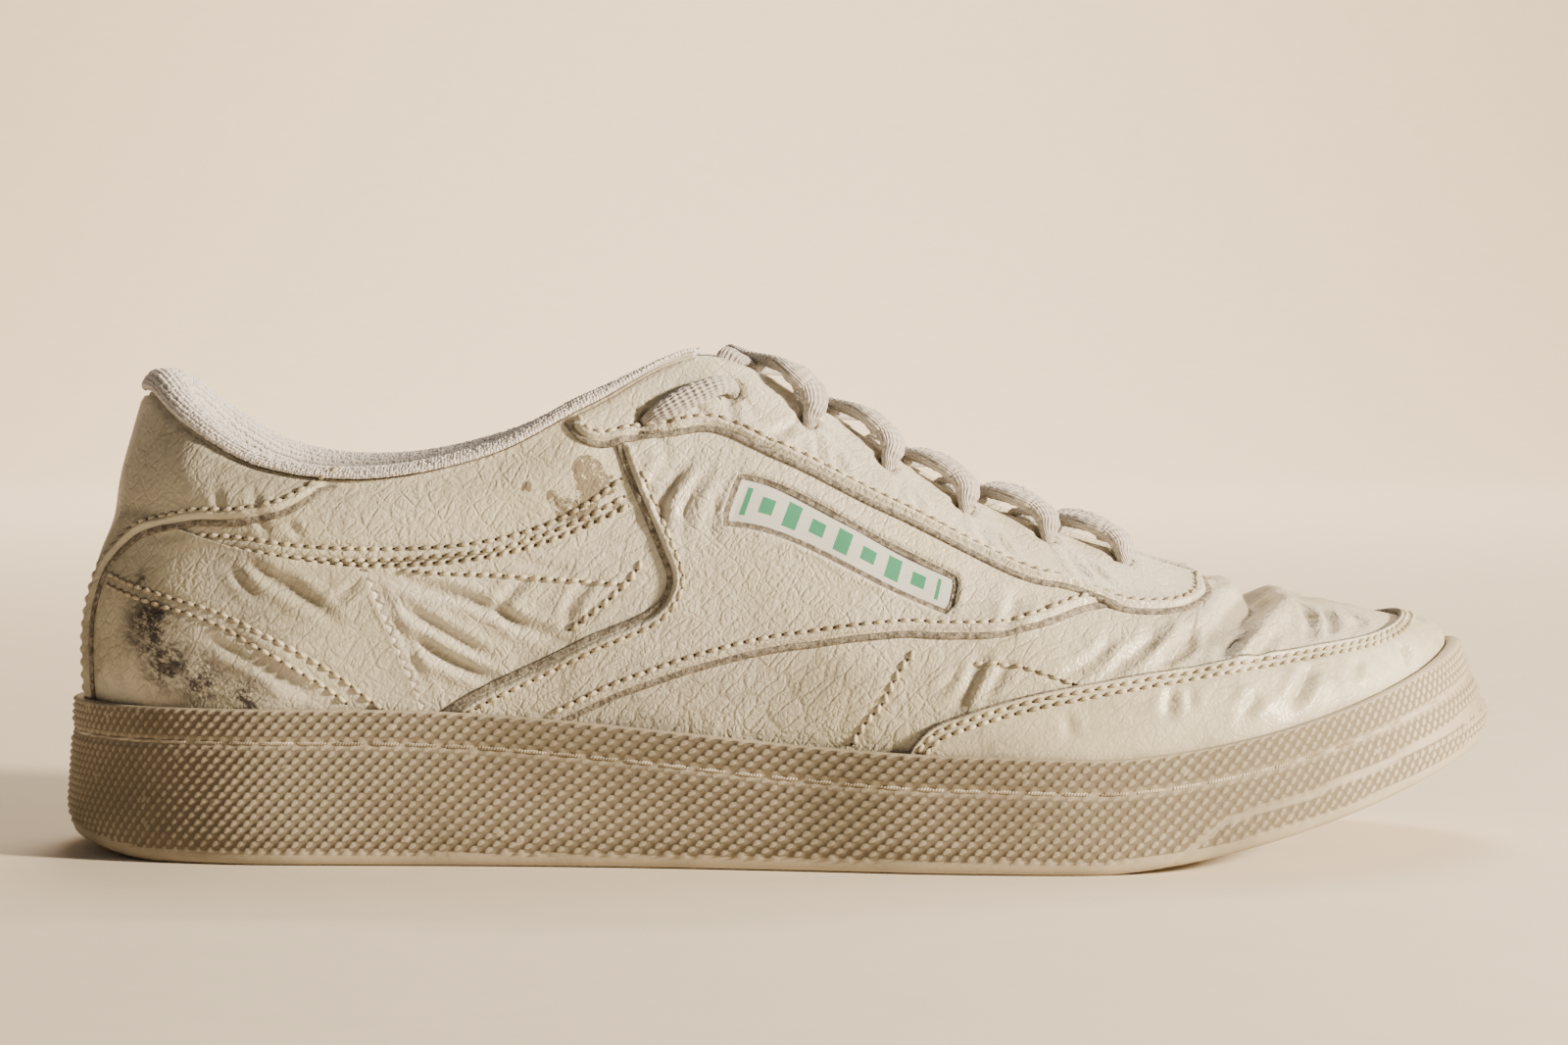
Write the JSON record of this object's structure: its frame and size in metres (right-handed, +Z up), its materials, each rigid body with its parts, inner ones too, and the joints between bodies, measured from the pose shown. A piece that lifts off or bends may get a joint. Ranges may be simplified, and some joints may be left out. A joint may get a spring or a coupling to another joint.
{
  "type": "worn low court sneaker",
  "caption": "Low lace-up court sneaker for the right foot, worn: hollow leather upper on a moulded rubber cupsole, padded towelling collar, tongue, insole and laces.",
  "frame": {"origin": "bottom centre of the shoe's bounding box, on the ground", "axes": "+X from heel to toe, -Y to the outer side of the foot, +Z up"},
  "size_m": [0.3, 0.108, 0.107],
  "materials": {
    "rubber": "matt pebbled rubber, greyed with dirt",
    "leather": "coated garment leather, creased and scuffed",
    "raw_edge": "raw cut leather edge, fuzzy and grey",
    "towelling": "looped towelling, greyed",
    "footbed": "woven footbed cover",
    "lace": "flat-oval braided lace",
    "thread": "twisted sewing thread",
    "label": "woven satin label"
  },
  "bodies": {
    "root": {"cupsole": "rubber", "upper": "leather", "insole": "footbed", "collar_lining": "towelling", "tongue": "leather", "lacing": "lace", "lace_lock_outer": "lace", "lace_lock_inner": "lace"}
  },
  "joints": []
}
